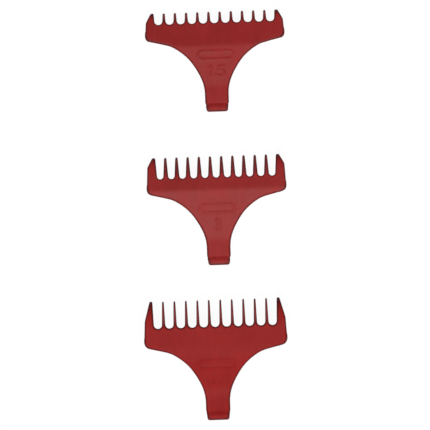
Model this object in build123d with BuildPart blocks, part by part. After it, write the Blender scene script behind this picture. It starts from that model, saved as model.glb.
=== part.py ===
from build123d import *

from dataclasses import dataclass
from math import radians, tan
import os

# Three clip-on guard combs for a T-blade hair trimmer, laid out flat in a column.
#
# Each guard is one plastic moulding: a T-shaped skin that lies on the blade, a row of
# comb teeth with ribs behind them, an end wall with a lug at each side, and a tail with a
# hook and a finger lip. The three share one body and differ in cut length and teeth.
#
# Millimetres, +Z up, skin side up, teeth towards +Y. A guard is drawn about its own
# centre line, with y = 0 at the back of its hook and z = 0 on its blade seat.

# ---- the trimmer blade that all three guards fit ----
blade_width = 32.0
blade_clearance = 0.3
blade_edge_y = 21.4
blade_back_y = 1.1
blade_back_thickness = 2.4

# ---- skin, seen from the side ----
plate_thickness = 1.2
ramp_start_y = 4.6
ramp_start_radius = 10.0
rest_height = 3.5

# ---- outline, seen from above ----
head_half_width = 17.5
head_front_half_width = 17.15
comb_corner_radius = 0.5
shoulder_y = 16.2
shoulder_slope = 13.5
shoulder_straight = 3.2
shoulder_corner_radius = 1.6
shoulder_curve = ((3.55, 5.8), (5.1, 8.95), (7.3, 11.85), (10.4, 14.2))
tail_half_width = 2.97
tail_top_y = 2.4

# ---- finger lip at the end of the tail ----
lip_length = 2.03
lip_half_width = 2.62
lip_flare_y = -0.3
lip_flare = 0.1
lip_corner_radius = 0.45
lip_rise = 0.4
lip_thickness = 1.1
lip_ramp_top_y = -0.75
lip_ramp_foot_y = 0.15
lip_ramp_radius = 0.5

# ---- end walls and their lugs ----
wall_depth = 0.9
wall_back_y = 14.2
lug_front_y = 18.7
lug_flare = 0.12
lug_height = 2.4
lug_length = 2.5
lug_chamfer_run = 0.3
lug_chamfer_rise = 0.4

# ---- comb teeth and the ribs behind them ----
pitch = 2.8
slot_count = 11
end_tip_half_width = 15.85
nose_depth = 0.9
nose_radius = 0.45
tip_rounding = 0.2
comb_back_wall = 0.8
rib_width = 0.9
rib_back_y = 12.5
rib_overlap = 0.5

# ---- hook under the tail ----
hook_width = 4.6
hook_root = 0.4
hook_corner = 0.3
catch_reach = 0.7
catch_slope = 0.15
catch_edge = 0.2
catch_lead = 0.5

# ---- raised marks on the skin ----
mark_height = 0.1
mark_root = 0.5
stroke = 0.36
digit_height = 2.4
digit_width = 1.3
digit_gap = 0.55
number_y = 8.1
badge_y = 12.1
badge_length = 9.0
badge_width = 2.4

# ---- layout of the set ----
gap_short_to_medium = 11.05
gap_medium_to_long = 8.55

seat_half_width = blade_width / 2 + blade_clearance
lip_z = plate_thickness + lip_rise
nose_z = -nose_depth + nose_radius
past_end = 1.0
tall = 30.0
same_place = 0.01


@dataclass
class Guard:
    """What changes from one guard to the next."""

    node: str
    number: str
    crest_y: float
    crest_z: float
    crest_radius: float
    root_y: float
    root_z: float
    tip_y: float
    chamfer_y: float
    mouth: float
    throat: float
    root_radius: float
    scale: float
    side_shift: float


guards = [
    Guard(
        "guard_short", "1.5", crest_y=14.6, crest_z=2.35, crest_radius=5,
        root_y=20.15, root_z=1.75, tip_y=23.1, chamfer_y=20.7,
        mouth=2.22, throat=1.9, root_radius=0.9, scale=1.0, side_shift=1.42,
    ),
    Guard(
        "guard_medium", "3", crest_y=16.9, crest_z=3.45, crest_radius=5,
        root_y=19.9, root_z=3.2, tip_y=25.3, chamfer_y=22.9,
        mouth=2.2, throat=1.52, root_radius=0.72, scale=1.0, side_shift=0.55,
    ),
    Guard(
        "guard_long", "6", crest_y=14.2, crest_z=5.15, crest_radius=16,
        root_y=20.7, root_z=5.7, tip_y=27.4, chamfer_y=22.6,
        mouth=2.36, throat=1.98, root_radius=0.95, scale=1.025, side_shift=-0.96,
    ),
]


def band_slope(guard):
    """Rise of the skin per millimetre forward, between the crest and the slots."""
    return (guard.root_z - guard.crest_z) / (guard.root_y - guard.crest_y)


def bent_line(guard, end_y, lift):
    """Side view of the skin from the hook, up the ramp and along the band, raised by lift."""
    FilletPolyline(
        (0, plate_thickness + lift),
        (ramp_start_y, plate_thickness + lift),
        (guard.crest_y, guard.crest_z + lift),
        (end_y, guard.crest_z + band_slope(guard) * (end_y - guard.crest_y) + lift),
        radius=(ramp_start_radius, guard.crest_radius),
    )


def skin_line(guard):
    """Side view of the skin, from past the lip's end to the nose of the teeth."""
    FilletPolyline(
        (-lip_length - past_end, lip_z),
        (lip_ramp_top_y, lip_z),
        (lip_ramp_foot_y, plate_thickness),
        (ramp_start_y, plate_thickness),
        (guard.crest_y, guard.crest_z),
        (guard.root_y, guard.root_z),
        radius=(lip_ramp_radius, lip_ramp_radius, ramp_start_radius, guard.crest_radius),
    )
    Spline(
        (guard.root_y, guard.root_z),
        (guard.tip_y, nose_z),
        tangents=((1, band_slope(guard)), (0, -1)),
    )


def comb_profile(guard):
    """Side view of the plate behind the slots and of the full-depth teeth in front."""
    edge_y = blade_edge_y / guard.scale
    pocket_y = guard.root_y - comb_back_wall
    pocket_z = guard.root_z - band_slope(guard) * comb_back_wall - plate_thickness
    skin_line(guard)
    RadiusArc((guard.tip_y, nose_z), (guard.tip_y - nose_radius, -nose_depth), nose_radius)
    Polyline(
        (guard.tip_y - nose_radius, -nose_depth),
        (edge_y, -nose_depth),
        (edge_y, 0),
        (pocket_y, 0),
        (pocket_y, pocket_z),
    )
    bent_line(guard, pocket_y, -plate_thickness)
    Polyline(
        (0, 0),
        (0, lip_z - lip_thickness),
        (-lip_length - past_end, lip_z - lip_thickness),
        (-lip_length - past_end, lip_z),
    )


def under_skin(guard):
    """Side view of everything that lies under the skin."""
    skin_line(guard)
    Polyline(
        (guard.tip_y, nose_z),
        (guard.tip_y, -tall),
        (-lip_length - past_end, -tall),
        (-lip_length - past_end, lip_z),
    )


def half_outline(guard):
    """Right half of the guard's outline from above, from the lip's end to past the tooth tips."""
    front_y = guard.tip_y + past_end
    chamfer_slope = (head_front_half_width - end_tip_half_width) / (guard.tip_y - guard.chamfer_y)
    straight_end = (
        head_half_width - shoulder_straight,
        shoulder_y - shoulder_straight * tan(radians(shoulder_slope)),
    )
    Polyline(
        (0, -lip_length),
        (lip_half_width, -lip_length),
        (tail_half_width - lip_flare, lip_flare_y),
        (tail_half_width, -lip_flare_y),
        (tail_half_width, tail_top_y),
    )
    Spline(
        (tail_half_width, tail_top_y),
        *shoulder_curve,
        straight_end,
        tangents=((0, 1), (1, tan(radians(shoulder_slope)))),
    )
    Polyline(
        straight_end,
        (head_half_width, shoulder_y),
        (head_front_half_width, guard.chamfer_y),
        (end_tip_half_width - chamfer_slope * past_end, front_y),
        (0, front_y),
    )


def outline(guard):
    """The whole outline as a face, with its lip, shoulder and comb corners rounded."""
    with BuildSketch() as plan:
        with BuildLine():
            half_outline(guard)
            mirror(about=Plane.YZ)
        make_face()
        fillet(plan.vertices().group_by(Axis.Y)[0], lip_corner_radius)
        shoulders = plan.vertices().group_by(Axis.X)[0] + plan.vertices().group_by(Axis.X)[-1]
        fillet(shoulders, shoulder_corner_radius)
        comb_corners = [v for v in plan.vertices() if abs(v.Y - guard.chamfer_y) < same_place]
        fillet(comb_corners, comb_corner_radius)
    return plan.sketch


def slots(guard):
    """The comb's slots from above: tapered, with round roots and rounded tooth tips."""
    root_half = guard.throat / 2
    mouth_half = guard.mouth / 2
    flare_half = mouth_half + tip_rounding
    with BuildSketch() as gaps:
        for slot_place in GridLocations(pitch, 0, slot_count, 1).locations:
            x = slot_place.position.X
            mouth_y = guard.tip_y - tip_rounding
            with BuildLine():
                Polyline(
                    (x - mouth_half, mouth_y),
                    (x - root_half, guard.root_y),
                    (x + root_half, guard.root_y),
                    (x + mouth_half, mouth_y),
                )
                RadiusArc((x + mouth_half, mouth_y), (x + flare_half, guard.tip_y), tip_rounding)
                Polyline(
                    (x + flare_half, guard.tip_y),
                    (x + flare_half, guard.tip_y + past_end),
                    (x - flare_half, guard.tip_y + past_end),
                    (x - flare_half, guard.tip_y),
                )
                RadiusArc((x - flare_half, guard.tip_y), (x - mouth_half, mouth_y), tip_rounding)
            make_face()
        fillet(gaps.vertices().group_by(Axis.Y)[0], guard.root_radius)
    return gaps.sketch


def wall_profile(guard):
    """Side view of an end wall, shallow in front and with a deep lug behind, running up past the skin."""
    front_y = blade_edge_y / guard.scale + rib_overlap
    lug_z = -rest_height / guard.scale
    Polyline(
        (wall_back_y, tall),
        (wall_back_y, lug_z),
        (lug_front_y - lug_chamfer_run, lug_z),
        (lug_front_y, lug_z + lug_chamfer_rise),
        (lug_front_y, -wall_depth),
        (front_y, -wall_depth),
        (front_y, tall),
        (wall_back_y, tall),
    )


def hook_profile(guard):
    """Side view of the hook: a web behind the blade with a catch that reaches under it."""
    catch_z = -blade_back_thickness / guard.scale
    bottom_z = -rest_height / guard.scale
    web_y = blade_back_y / guard.scale
    Polyline(
        (0, hook_root),
        (web_y, hook_root),
        (web_y, catch_z),
        (web_y + catch_reach, catch_z - catch_slope),
        (web_y + catch_reach, catch_z - catch_slope - catch_edge),
        (web_y + catch_reach - catch_lead, bottom_z),
        (hook_corner, bottom_z),
        (0, bottom_z + hook_corner),
        (0, hook_root),
    )


def lugs(guard):
    """Outline of the two clip lugs, which stand slightly proud of the end walls."""
    wall_x = seat_half_width / guard.scale
    lug_y = lug_front_y - lug_length / 2
    with BuildSketch() as plan:
        with Locations((-lug_flare, 0), (lug_flare, 0)):
            add(outline(guard))
        with Locations((-wall_x - past_end, lug_y), (wall_x + past_end, lug_y)):
            Rectangle(2 * past_end, lug_length, mode=Mode.INTERSECT)
    return plan.sketch


def draw_arc(start, middle, end):
    """One curved stroke through three points."""
    with BuildLine() as path:
        ThreePointArc(start, middle, end)
    trace(path.line, line_width=stroke)


def draw_straight(*points):
    """One stroke of straight lines from point to point."""
    with BuildLine() as path:
        Polyline(*points)
    trace(path.line, line_width=stroke)


def draw_digit(digit, x, y):
    """One digit in strokes of even width, with its lower left corner at x, y."""
    w = digit_width
    h = digit_height
    mid_x = x + w / 2
    upper = 0.24 * h
    lower = 0.26 * h
    curl = 0.125 * h
    upper_y = y + h - upper
    lower_y = y + lower
    if digit == "1":
        draw_straight((x + 0.15 * w, y + 0.78 * h), (x + 0.55 * w, y + h), (x + 0.55 * w, y))
    elif digit == ".":
        draw_straight((x, y + stroke / 2), (x + stroke, y + stroke / 2))
    elif digit == "3":
        draw_arc((mid_x - upper, upper_y + curl), (mid_x + upper, upper_y), (mid_x, upper_y - upper))
        draw_arc((mid_x, lower_y + lower), (mid_x + lower, lower_y), (mid_x - lower, lower_y - curl))
    elif digit == "5":
        draw_straight((x + w, y + h), (x + 0.15 * w, y + h), (x + 0.1 * w, y + 0.56 * h))
        draw_arc((x + 0.1 * w, y + 0.56 * h), (x + w, y + 0.32 * h), (x, y + 0.06 * h))
    elif digit == "6":
        draw_arc((mid_x + 0.35 * w, y + h), (mid_x - 0.75 * lower, y + 0.68 * h), (mid_x - lower, lower_y))
        with Locations((mid_x, lower_y)):
            Circle(lower + stroke / 2)
            Circle(lower - stroke / 2, mode=Mode.SUBTRACT)


def number_width(number):
    """Width of a number as drawn, its digits and the gaps between them."""
    widths = [stroke if digit == "." else digit_width for digit in number]
    return sum(widths) + digit_gap * (len(number) - 1)


def make_marks(guard):
    """The raised marks: a blank badge, and the cut length in millimetres under it."""
    with BuildPart() as marks:
        with BuildSketch(Plane.YZ):
            with BuildLine():
                bent_line(guard, guard.root_y, mark_height)
                bent_line(guard, guard.root_y, -mark_root)
                Line((0, plate_thickness + mark_height), (0, plate_thickness - mark_root))
                Line(
                    (guard.root_y, guard.root_z + mark_height),
                    (guard.root_y, guard.root_z - mark_root),
                )
            make_face()
        extrude(amount=badge_length, both=True)
        with BuildSketch():
            with Locations((0, badge_y)):
                SlotOverall(badge_length, badge_width)
                SlotOverall(badge_length - 2 * stroke, badge_width - 2 * stroke, mode=Mode.SUBTRACT)
            x = -number_width(guard.number) / 2
            for digit in guard.number:
                draw_digit(digit, x, number_y - digit_height / 2)
                x += (stroke if digit == "." else digit_width) + digit_gap
        extrude(amount=tall, both=True, mode=Mode.INTERSECT)
    return marks.part


def make_guard(guard):
    """One guard, about its own centre line, with its blade seat at z = 0."""
    wall_x = seat_half_width / guard.scale
    lug_z = -rest_height / guard.scale
    marks = make_marks(guard)
    with BuildPart() as moulding:
        # end walls and ribs, cut off level with the skin
        for x in (-wall_x - 2 * past_end, wall_x):
            with BuildSketch(Plane.YZ.offset(x)):
                with BuildLine():
                    wall_profile(guard)
                make_face()
            extrude(amount=2 * past_end)
        rib_length = guard.root_y + rib_overlap - rib_back_y
        with BuildSketch():
            with Locations((0, rib_back_y + rib_length / 2)):
                with GridLocations(pitch, 0, slot_count - 1, 1):
                    Rectangle(rib_width, rib_length)
        extrude(amount=tall)
        with BuildSketch(Plane.YZ):
            with BuildLine():
                under_skin(guard)
            make_face()
        extrude(amount=tall, both=True, mode=Mode.INTERSECT)

        # plate, teeth and hook
        with BuildSketch(Plane.YZ):
            with BuildLine():
                comb_profile(guard)
            make_face()
        extrude(amount=head_half_width + past_end, both=True)
        with BuildSketch(Plane.YZ):
            with BuildLine():
                hook_profile(guard)
            make_face()
        extrude(amount=hook_width / 2, both=True)

        # outline, slots, lugs and marks
        add(outline(guard))
        extrude(amount=tall, both=True, mode=Mode.INTERSECT)
        add(slots(guard))
        extrude(amount=tall, both=True, mode=Mode.SUBTRACT)
        with BuildSketch(Plane.XY.offset(lug_z)):
            add(lugs(guard))
        extrude(amount=lug_height / guard.scale)
        add(marks)
        scale(by=guard.scale)
    return moulding.part


# ---- the set: a column, short at the top, standing on lugs and hooks at z = 0 ----
lengths = [(guard.tip_y + lip_length) * guard.scale for guard in guards]
set_length = sum(lengths) + gap_short_to_medium + gap_medium_to_long
tops = [
    set_length / 2,
    set_length / 2 - lengths[0] - gap_short_to_medium,
    -set_length / 2 + lengths[2],
]

os.makedirs("parts", exist_ok=True)
for guard, top_y in zip(guards, tops):
    place = Location((guard.side_shift, top_y - guard.tip_y * guard.scale, rest_height))
    piece = make_guard(guard).moved(place)
    piece.label = guard.node
    export_step(piece, f"parts/{guard.node}.step")
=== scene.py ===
import math
from typing import NamedTuple

import bpy
from mathutils import Euler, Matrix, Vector
import numpy as np
import openvdb


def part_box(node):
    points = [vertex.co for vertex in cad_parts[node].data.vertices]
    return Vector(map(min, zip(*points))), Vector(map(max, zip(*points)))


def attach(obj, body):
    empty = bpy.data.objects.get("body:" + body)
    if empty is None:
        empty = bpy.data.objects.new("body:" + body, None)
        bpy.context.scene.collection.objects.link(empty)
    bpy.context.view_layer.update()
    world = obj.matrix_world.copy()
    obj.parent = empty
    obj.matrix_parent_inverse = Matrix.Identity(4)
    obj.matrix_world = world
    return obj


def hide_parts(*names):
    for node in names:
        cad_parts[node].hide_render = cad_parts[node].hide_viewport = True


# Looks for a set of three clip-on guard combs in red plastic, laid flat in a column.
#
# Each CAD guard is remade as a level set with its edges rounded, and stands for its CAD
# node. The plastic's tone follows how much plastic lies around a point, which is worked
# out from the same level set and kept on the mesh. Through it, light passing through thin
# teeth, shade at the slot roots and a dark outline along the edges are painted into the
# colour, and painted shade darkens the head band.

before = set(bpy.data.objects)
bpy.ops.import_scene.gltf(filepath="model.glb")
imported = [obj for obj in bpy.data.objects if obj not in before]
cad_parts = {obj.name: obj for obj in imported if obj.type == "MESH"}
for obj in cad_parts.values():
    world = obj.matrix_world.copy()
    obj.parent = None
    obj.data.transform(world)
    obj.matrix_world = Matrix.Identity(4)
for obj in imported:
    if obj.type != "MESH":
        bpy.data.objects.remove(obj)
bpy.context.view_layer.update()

MM = 0.001

# ---- how finely each guard is remade, in millimetres and in voxels ----
VOXEL = 0.12
BAND_VOXELS = 3

# ---- rounding, in millimetres ----
FILLET_RADIUS = 0.2
EDGE_RADIUS = 0.15
RIM_RADIUS = 0.42
RIM_DEPTH = 0.8          # below the skin's top, how far the rim's rounding is full
RIM_FADE = 0.35          # over what further depth it fades out
RIM_FRONT_GAP = 0.5      # how far behind the slots it ends
RIM_FRONT_FADE = 1.5     # over what length it fades out before that
TAIL_LENGTH = 15.0       # no slot starts closer than this to the end of the lip

# ---- the raised marks, forward of the hook on a guard of scale 1, in millimetres ----
LIP_LENGTH = 2.03        # how far the lip reaches behind the hook
NUMBER_Y = 8.1
NUMBER_HALF_SIZE = (2.4, 1.4)
BADGE_Y = 12.1
BADGE_HALF_SIZE = (4.8, 1.4)
MARK_FADE = 0.5

# ---- how far around a point its plastic is counted, in millimetres ----
BODY_REACH = 1.4
DETAIL_REACH = 0.5

# ---- red plastic: tones, painted light and painted shade, in linear light ----
FULL_RED = (0.31, 0.0150, 0.0140)
SLIM_RED = (0.33, 0.0175, 0.0165)
# painted shade: the slot roots darker; painted light: teeth and tips lighter and pinker, as
# light passing through thin plastic
ROOT_SHADE_RED = (0.235, 0.0160, 0.0155)
TOOTH_LIT_RED = (0.31, 0.0330, 0.0320)
TIP_LIT_RED = (0.62, 0.1050, 0.1050)
SCRATCH_RED = (0.36, 0.04, 0.04)
# painted shade: darkens the head band, which lies forward of the crest and faces away from the
# key light
HEAD_SHADE_TINT = (0.92, 0.94, 0.94)
# painted shade: a dark outline along every edge, where the rounded rims turn away from the light
EDGE_SHADE_TINT = (0.55, 0.65, 0.65)
FLOW_DARK = (0.92, 0.86, 0.86)
FLOW_LIGHT = (1.09, 1.20, 1.20)
CLOUD_DARK = (0.90, 0.88, 0.88)
BLACK = (0, 0, 0)
WHITE = (1, 1, 1)

# ---- red plastic: stops of (share or noise level, colour) ----
# by fullness: painted light through thin teeth and tips, painted shade at the slot roots
BODY_STOPS = (
    (0.13, TIP_LIT_RED),
    (0.21, TOOTH_LIT_RED),
    (0.27, ROOT_SHADE_RED),
    (0.34, SLIM_RED),
    (0.47, FULL_RED),
)
# painted shade on the head band
HEAD_SHADE_STOPS = ((0.0, WHITE), (1.0, HEAD_SHADE_TINT))
# painted shade along the edges, where the fine fullness drops
EDGE_SHADE_STOPS = ((0.39, EDGE_SHADE_TINT), (0.485, WHITE))
FLOW_STOPS = ((0.3, FLOW_DARK), (0.7, FLOW_LIGHT))
CLOUD_STOPS = ((0.3, CLOUD_DARK), (0.7, WHITE))
SCRATCH_STOPS = ((0.70, BLACK), (0.76, WHITE))

# ---- red plastic: noise sizes, in waves a metre ----
FLOW_SCALE = 170.0
CLOUD_SCALE = 900.0
PEEL_SCALE = 520.0
GRAIN_SCALE = 3400.0
SCRATCH_SCALES = (2600.0, 70.0, 300.0)

# ---- red plastic: how flow marks and scratches lie ----
FLOW_STRETCH = (1.0, 0.45, 1.0)              # flow marks are drawn out along the tail
SCRATCH_SETS = ((0.35, 1.0), (-1.1, 7.0))    # turn in radians and shift of each set

# ---- red plastic: surface ----
SCRATCH_SHARE = 0.25         # of SCRATCH_RED in a scratch
BASE_ROUGHNESS = 0.42
FLOW_ROUGHNESS = 0.16        # added where the flow noise is 1
SCRATCH_ROUGHNESS = 0.15     # added in a scratch
PEEL_HEIGHT = 2.2            # against the grain's 1
SCRATCH_HEIGHT = -0.5
BUMP_STRENGTH = 0.35
BUMP_METRES = 0.00001
PLASTIC_IOR = 1.5
SCATTER_SHARE = 0.12
SCATTER_RADIUS = (1.0, 0.12, 0.1)
SCATTER_METRES = 0.0006

# ---- floor and light ----
FLOOR_HALF_WIDTH = 30.0
FLOOR_GLOW = 0.95
FLOOR_SHADE = 0.06
FLOOR_BOUNCE = 0.40
HORIZON_LIGHT = 0.26
ZENITH_LIGHT = 0.43
ZENITH_HEIGHT = 0.9      # a direction's height from which the fill light is full
LIGHT_DISTANCE = 2.5

# ---- camera: straight down from above the middle of the set ----
VIEW_DISTANCE = 1.6             # metres
VIEW_WIDTH = 107.878            # what the picture takes in from side to side, in millimetres
VIEW_SHIFT = (-0.0903, 0.1731)  # how far the picture's middle is off the set's, in millimetres
ROLL_DEGREES = -1.99
SENSOR_WIDTH = 36.0
CLIP_METRES = (0.01, 100.0)


class Guard(NamedTuple):
    """One guard of the set, and how its plastic and its painted shade differ from the others'.
    """

    node: str
    body: str
    scale: float         # its outline against the short guard's
    head_start: tuple    # forward of the hook, where the painted shade on the head starts and is full
    head_share: float    # how much of that painted shade it takes
    sheen: float         # specular level


GUARDS = (
    Guard("guard_short", "short_guard", 1.0, (13.6, 15.4), 1.0, 0.15),
    Guard("guard_medium", "medium_guard", 1.0, (16.3, 17.3), 1.0, 0.17),
    Guard("guard_long", "long_guard", 1.025, (10.5, 17.0), 0.5, 0.06),
)


# ---------------------------------------------------------------- level sets and arrays

def mesh_of(node):
    """Points in millimetres and triangles of a CAD node."""
    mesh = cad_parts[node].data
    mesh.calc_loop_triangles()
    points = np.zeros(len(mesh.vertices) * 3, np.float32)
    mesh.vertices.foreach_get("co", points)
    triangles = np.zeros(len(mesh.loop_triangles) * 3, np.int32)
    mesh.loop_triangles.foreach_get("vertices", triangles)
    return points.reshape(-1, 3) / MM, triangles.reshape(-1, 3).astype(np.uint32)


def level_set(points, reach, **faces):
    """Distance to the surface, known in a band that is reach wide and a few voxels more."""
    transform = openvdb.createLinearTransform(VOXEL)
    band = reach / VOXEL + BAND_VOXELS
    return openvdb.FloatGrid.createLevelSetFromPolygons(
        points, transform=transform, halfWidth=band, **faces
    )


def there_and_back(grid, distance):
    """A surface moved outwards by distance and back, which fillets its inner corners.

    With a negative distance it goes in and back, which rounds its edges.
    """
    points, quads = grid.convertToQuads(isovalue=distance)
    moved = level_set(points, abs(distance), quads=quads)
    points, quads = moved.convertToQuads(isovalue=-distance)
    return level_set(points, RIM_RADIUS, quads=quads)


def dense(grid, low, shape):
    """A grid's values in a plain array that starts at voxel low."""
    values = np.zeros(shape, np.float32)
    grid.copyToArray(values, ijk=low)
    return values


def smooth_step(value, start, end):
    """0 before start, 1 after end and an even S between them."""
    part = np.clip((value - start) / (end - start), 0, 1)
    return part * part * (3 - 2 * part)


def box_blur(values, reach, axis):
    """Running mean over reach voxels to each side along one axis."""
    padding = [(0, 0)] * 3
    padding[axis] = (reach + 1, reach)
    total = np.cumsum(np.pad(values, padding, mode="edge"), axis=axis, dtype=np.float64)
    width = 2 * reach + 1
    ends = [slice(None)] * 3
    starts = [slice(None)] * 3
    ends[axis] = slice(width, None)
    starts[axis] = slice(None, -width)
    return ((total[tuple(ends)] - total[tuple(starts)]) / width).astype(np.float32)


def sample(values, places):
    """Values at places between voxels, mixed from the eight voxels around each."""
    base = np.clip(np.floor(places).astype(int), 0, np.array(values.shape) - 2)
    part = places - base
    result = np.zeros(len(places), np.float32)
    for dx in (0, 1):
        for dy in (0, 1):
            for dz in (0, 1):
                weight = (
                    (part[:, 0] if dx else 1 - part[:, 0])
                    * (part[:, 1] if dy else 1 - part[:, 1])
                    * (part[:, 2] if dz else 1 - part[:, 2])
                )
                result += weight * values[base[:, 0] + dx, base[:, 1] + dy, base[:, 2] + dz]
    return result


def fullness(values, radius):
    """Share of plastic within about radius of every voxel.

    It is a half at a thick flat face, and little at a tip.
    """
    solid = np.clip(0.5 - values / VOXEL, 0, 1)
    reach = max(1, round(radius / VOXEL / 2))
    for axis in range(3):
        solid = box_blur(box_blur(solid, reach, axis), reach, axis)
    return solid


# ---------------------------------------------------------------- guard meshes

def comb_root(inside, y):
    """Where the slots end: the first row forward of the tail that has a gap in it."""
    plan = inside.any(axis=2)
    for row in np.flatnonzero(y > y[0] + TAIL_LENGTH):
        filled = np.flatnonzero(plan[:, row])
        if len(filled) and not plan[filled[0]:filled[-1] + 1, row].all():
            return y[row]
    return y[-1]


def near_mark(x, y, half_size, scale):
    """1 on a mark, 0 well clear of it, for distances x and y from its middle."""
    away_x = np.abs(x) - half_size[0] * scale
    away_y = np.abs(y) - half_size[1] * scale
    across = 1 - smooth_step(away_x, 0, MARK_FADE)
    along = 1 - smooth_step(away_y, 0, MARK_FADE)
    return across[:, None] * along[None, :]


def rim_share(guard, x, y, z, inside):
    """How far the rim's large rounding applies at each voxel, from 0 to 1.

    It applies near the skin's top, ends behind the comb, and leaves the marks crisp.
    """
    top = np.where(inside.any(axis=0), z[None, :], z[0]).max(axis=1)
    depth = z[None, :] - top[:, None]
    share = smooth_step(depth, -RIM_DEPTH - RIM_FADE, -RIM_DEPTH)[None, :, :]
    root = comb_root(inside, y)
    front = smooth_step(y, root - RIM_FRONT_FADE - RIM_FRONT_GAP, root - RIM_FRONT_GAP)
    share = share * (1 - front)[None, :, None]
    box_low, box_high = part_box(guard.node)
    centre_x = (box_low.x + box_high.x) / 2 / MM
    hook_y = box_low.y / MM + LIP_LENGTH * guard.scale
    for mark_y, half_size in ((NUMBER_Y, NUMBER_HALF_SIZE), (BADGE_Y, BADGE_HALF_SIZE)):
        near = near_mark(x - centre_x, y - hook_y - mark_y * guard.scale, half_size, guard.scale)
        share = share * (1 - near)[:, :, None]
    return share


def rounded_guard(guard):
    """The CAD guard with rounded edges and filleted corners.

    Gives points, quads, and for each point its fullness, its fine fullness and how far
    forward of the hook it lies on a guard of scale 1.
    """
    points, triangles = mesh_of(guard.node)
    sharp = level_set(points, FILLET_RADIUS, triangles=triangles)
    filleted = there_and_back(sharp, FILLET_RADIUS)
    small = there_and_back(filleted, -EDGE_RADIUS)
    large = there_and_back(filleted, -RIM_RADIUS)

    # the small rounding everywhere, blended into the large one along the rim
    low, high = filleted.evalActiveVoxelBoundingBox()
    shape = tuple(high[i] - low[i] + 1 for i in range(3))
    x, y, z = ((low[i] + np.arange(shape[i])) * VOXEL for i in range(3))
    small_values = dense(small, low, shape)
    large_values = dense(large, low, shape)
    share = rim_share(guard, x, y, z, small_values < 0)
    values = small_values + share * (large_values - small_values)
    result = openvdb.FloatGrid(RIM_RADIUS + BAND_VOXELS * VOXEL)
    result.transform = openvdb.createLinearTransform(VOXEL)
    result.copyFromArray(values, ijk=low)
    points, quads = result.convertToQuads(isovalue=0)

    places = points / VOXEL - np.array(low)
    body = sample(fullness(values, BODY_REACH), places)
    detail = sample(fullness(values, DETAIL_REACH), places)
    box_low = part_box(guard.node)[0]
    forward = (points[:, 1] - box_low.y / MM) / guard.scale - LIP_LENGTH
    return points, quads, body, detail, forward


def new_mesh(name, points, quads):
    """A smooth-shaded mesh object from points in millimetres."""
    mesh = bpy.data.meshes.new(name)
    mesh.vertices.add(len(points))
    mesh.vertices.foreach_set("co", (points * MM).astype(np.float32).ravel())
    mesh.loops.add(len(quads) * 4)
    mesh.loops.foreach_set("vertex_index", quads.astype(np.int32).ravel())
    mesh.polygons.add(len(quads))
    mesh.polygons.foreach_set("loop_start", np.arange(0, len(quads) * 4, 4, dtype=np.int32))
    mesh.update(calc_edges=True)
    mesh.polygons.foreach_set("use_smooth", np.ones(len(quads), bool))
    mesh.validate()
    thing = bpy.data.objects.new(name, mesh)
    bpy.context.scene.collection.objects.link(thing)
    return thing


def store(thing, name, values):
    """Keeps one number per point on the mesh for its material."""
    attribute = thing.data.attributes.new(name, "FLOAT", "POINT")
    attribute.data.foreach_set("value", values.astype(np.float32))


def make_guard(guard, seed):
    """The visible guard, which stands for its CAD node and moves with its body."""
    points, quads, body, detail, forward = rounded_guard(guard)
    piece = new_mesh(guard.node + "_moulding", points, quads)
    store(piece, "fullness", body)
    store(piece, "fine_fullness", detail)
    # painted shade on the head band, forward of the crest
    store(piece, "head", guard.head_share * smooth_step(forward, *guard.head_start))
    piece.data.materials.append(red_plastic(guard.node + "_red", seed, guard.sheen))
    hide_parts(guard.node)
    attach(piece, guard.body)


# ---------------------------------------------------------------- materials

class Nodes:
    """A short way to add nodes to a material or a world and link them."""

    def __init__(self, owner):
        owner.use_nodes = True
        self.tree = owner.node_tree
        self.tree.nodes.clear()

    def add(self, kind, settings=None, **inputs):
        """A new node; an input's name has _ for each space."""
        node = self.tree.nodes.new(kind)
        for key, value in (settings or {}).items():
            setattr(node, key, value)
        for key, value in inputs.items():
            self.plug(node, key.replace("_", " "), value)
        return node

    def plug(self, node, socket, value):
        """Links or sets one input, named or numbered."""
        target = node.inputs[int(socket)] if socket.isdigit() else node.inputs[socket]
        if isinstance(value, bpy.types.NodeSocket):
            self.tree.links.new(value, target)
        else:
            target.default_value = value

    def attribute(self, name):
        """A number that is kept on the mesh."""
        return self.add("ShaderNodeAttribute", {"attribute_name": name}).outputs["Fac"]

    def noise(self, where, **inputs):
        """Noise of the given Scale, Detail and Roughness at a place."""
        return self.add("ShaderNodeTexNoise", Vector=where, **inputs).outputs["Fac"]

    def ramp(self, factor, stops):
        """Colour that follows factor through stops of (position, colour)."""
        node = self.add("ShaderNodeValToRGB", Fac=factor)
        elements = node.color_ramp.elements
        while len(elements) < len(stops):
            elements.new(1.0)
        for element, (position, colour) in zip(elements, stops):
            element.position = position
            element.color = (*colour, 1)
        return node.outputs["Color"]

    def mix(self, blend, first, second, factor):
        """Two colours mixed by the named blend."""
        node = self.add("ShaderNodeMix", {"data_type": "RGBA", "blend_type": blend})
        # of the node's many sockets, these are the factor and the two colours
        for socket, value in ((0, factor), (6, first), (7, second)):
            if isinstance(value, tuple):
                value = (*value, 1)
            self.plug(node, str(socket), value)
        return node.outputs[2]

    def math(self, operation, *values):
        """One step of arithmetic."""
        node = self.add("ShaderNodeMath", {"operation": operation})
        for socket, value in enumerate(values):
            self.plug(node, str(socket), value)
        return node.outputs[0]

    def seen_or_lit(self, lit, seen):
        """One shader for the camera and another for light that reaches the object."""
        node = self.add("ShaderNodeMixShader")
        path = self.add("ShaderNodeLightPath")
        self.plug(node, "0", path.outputs["Is Camera Ray"])
        self.plug(node, "1", lit.outputs[0])
        self.plug(node, "2", seen.outputs[0])
        return node.outputs[0]


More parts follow.
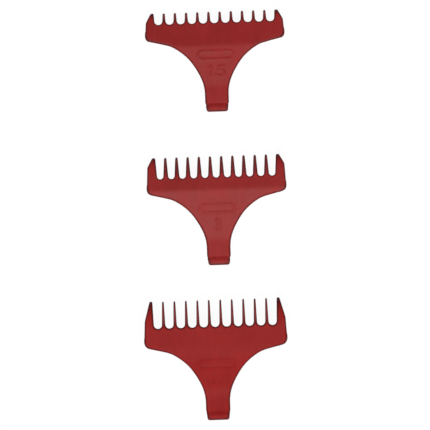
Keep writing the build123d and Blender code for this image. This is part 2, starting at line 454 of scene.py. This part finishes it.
def plastic_tone(nodes, flow, cloud):
    """Red by how much plastic is near, with painted light and shade by thickness, painted shade
    on the head and along the edges, and flow marks.
    """
    colour_with_painted_light = nodes.ramp(nodes.attribute("fullness"), BODY_STOPS)
    tints_and_painted_shade = (
        nodes.ramp(nodes.attribute("head"), HEAD_SHADE_STOPS),
        nodes.ramp(nodes.attribute("fine_fullness"), EDGE_SHADE_STOPS),
        nodes.ramp(flow, FLOW_STOPS),
        nodes.ramp(cloud, CLOUD_STOPS),
    )
    for tint in tints_and_painted_shade:
        colour_with_painted_light = nodes.mix("MULTIPLY", tint, colour_with_painted_light, 1.0)
    return colour_with_painted_light


def fine_scratches(nodes, where, seed):
    """Two sets of scratches, crossed: noise drawn out into long thin streaks."""
    sets = []
    for turn, shift in SCRATCH_SETS:
        place = nodes.add(
            "ShaderNodeMapping",
            Vector=where,
            Location=(shift + seed, shift, 0),
            Rotation=(0, 0, turn),
            Scale=SCRATCH_SCALES,
        )
        streak = nodes.noise(place.outputs[0], Scale=1.0, Detail=1.0)
        sets.append(nodes.ramp(streak, SCRATCH_STOPS))
    return nodes.mix("LIGHTEN", *sets, 1.0)


def red_plastic(name, seed, sheen):
    """Deep red moulded plastic: satin, with mould grain and a little scatter."""
    material = bpy.data.materials.new(name)
    nodes = Nodes(material)
    where = nodes.add("ShaderNodeTexCoord").outputs["Object"]
    stretched = nodes.add(
        "ShaderNodeMapping", Vector=where, Location=(seed, 0, 0), Scale=FLOW_STRETCH
    ).outputs[0]
    flow = nodes.noise(stretched, Scale=FLOW_SCALE, Detail=4.0, Roughness=0.55)
    cloud = nodes.noise(stretched, Scale=CLOUD_SCALE, Detail=3.0, Roughness=0.6)
    scratches = fine_scratches(nodes, where, seed)
    # the red with its painted light and painted shade
    colour_with_painted_light = plastic_tone(nodes, flow, cloud)
    scratched = nodes.math("MULTIPLY", scratches, SCRATCH_SHARE)
    colour_with_painted_light = nodes.mix("MIX", colour_with_painted_light, SCRATCH_RED, scratched)

    roughness = nodes.math("MULTIPLY_ADD", flow, FLOW_ROUGHNESS, BASE_ROUGHNESS)
    roughness = nodes.math("MULTIPLY_ADD", scratches, SCRATCH_ROUGHNESS, roughness)
    grain = nodes.noise(where, Scale=GRAIN_SCALE, Detail=3.0, Roughness=0.6)
    peel = nodes.noise(where, Scale=PEEL_SCALE, Detail=2.0)
    relief = nodes.math("MULTIPLY_ADD", peel, PEEL_HEIGHT, grain)
    relief = nodes.math("MULTIPLY_ADD", scratches, SCRATCH_HEIGHT, relief)
    bump = nodes.add(
        "ShaderNodeBump", Strength=BUMP_STRENGTH, Distance=BUMP_METRES, Height=relief
    )
    shader = nodes.add(
        "ShaderNodeBsdfPrincipled",
        Base_Color=colour_with_painted_light,
        Roughness=roughness,
        IOR=PLASTIC_IOR,
        Specular_IOR_Level=sheen,
        Subsurface_Weight=SCATTER_SHARE,
        Subsurface_Radius=SCATTER_RADIUS,
        Subsurface_Scale=SCATTER_METRES,
        Normal=bump.outputs[0],
    )
    nodes.add("ShaderNodeOutputMaterial", Surface=shader.outputs["BSDF"])
    return material


# ---------------------------------------------------------------- stage

def grey(level):
    """A grey for a colour socket, with its alpha."""
    return (level, level, level, 1)


def make_floor():
    """A wide pale floor under the guards, bright enough to read as plain white."""
    half = FLOOR_HALF_WIDTH
    corners = [(-half, -half, 0), (half, -half, 0), (half, half, 0), (-half, half, 0)]
    mesh = bpy.data.meshes.new("floor")
    mesh.from_pydata(corners, [], [(0, 1, 2, 3)])
    floor = bpy.data.objects.new("floor", mesh)
    bpy.context.scene.collection.objects.link(floor)
    material = bpy.data.materials.new("floor_white")
    nodes = Nodes(material)
    glow = nodes.add("ShaderNodeEmission", Strength=FLOOR_GLOW)
    shade = nodes.add("ShaderNodeBsdfDiffuse", Color=grey(FLOOR_SHADE))
    seen = nodes.add("ShaderNodeAddShader")
    nodes.plug(seen, "0", glow.outputs[0])
    nodes.plug(seen, "1", shade.outputs[0])
    lit = nodes.add("ShaderNodeBsdfDiffuse", Color=grey(FLOOR_BOUNCE))
    nodes.add("ShaderNodeOutputMaterial", Surface=nodes.seen_or_lit(lit, seen))
    mesh.materials.append(material)


def soft_light(name, lean, turn, size, power):
    """A square softbox that faces the set from LIGHT_DISTANCE away.

    It stands lean degrees off straight above, towards the side turn degrees round from +X.
    """
    light = bpy.data.lights.new(name, "AREA")
    light.shape = "SQUARE"
    light.size = size
    light.energy = power
    lamp = bpy.data.objects.new(name, light)
    away = Vector((0, 0, 1))
    away.rotate(Euler((0, math.radians(lean), math.radians(turn))))
    lamp.location = away * LIGHT_DISTANCE
    lamp.rotation_euler = (-away).to_track_quat("-Z", "Y").to_euler()
    bpy.context.scene.collection.objects.link(lamp)


def make_world():
    """White to the camera, and a fill light that is stronger from above than from the side."""
    world = bpy.data.worlds.new("studio")
    nodes = Nodes(world)
    seen = nodes.add("ShaderNodeBackground", Color=grey(1), Strength=1.0)
    direction = nodes.add("ShaderNodeTexCoord").outputs["Generated"]
    height = nodes.add("ShaderNodeSeparateXYZ", Vector=direction).outputs["Z"]
    level = nodes.add(
        "ShaderNodeMapRange",
        {"interpolation_type": "SMOOTHSTEP"},
        Value=height,
        From_Min=0.0,
        From_Max=ZENITH_HEIGHT,
        To_Min=HORIZON_LIGHT,
        To_Max=ZENITH_LIGHT,
    )
    lit = nodes.add("ShaderNodeBackground", Color=grey(1), Strength=level.outputs["Result"])
    nodes.add("ShaderNodeOutputWorld", Surface=nodes.seen_or_lit(lit, seen))
    bpy.context.scene.world = world


def make_camera():
    """A long lens straight above the set, turned a little so that the column leans."""
    data = bpy.data.cameras.new("camera")
    data.sensor_width = SENSOR_WIDTH
    data.lens = SENSOR_WIDTH * VIEW_DISTANCE / (VIEW_WIDTH * MM)
    data.shift_x, data.shift_y = (shift / VIEW_WIDTH for shift in VIEW_SHIFT)
    data.clip_start, data.clip_end = CLIP_METRES
    camera = bpy.data.objects.new("camera", data)
    camera.location = (0, 0, VIEW_DISTANCE)
    camera.rotation_euler = (0, 0, math.radians(ROLL_DEGREES))
    bpy.context.scene.collection.objects.link(camera)
    bpy.context.scene.camera = camera


for seed, guard in enumerate(GUARDS):
    make_guard(guard, seed)

make_floor()
make_world()
soft_light("key", lean=24, turn=-90, size=1.0, power=44.0)
make_camera()
bpy.context.scene.view_settings.view_transform = "Standard"
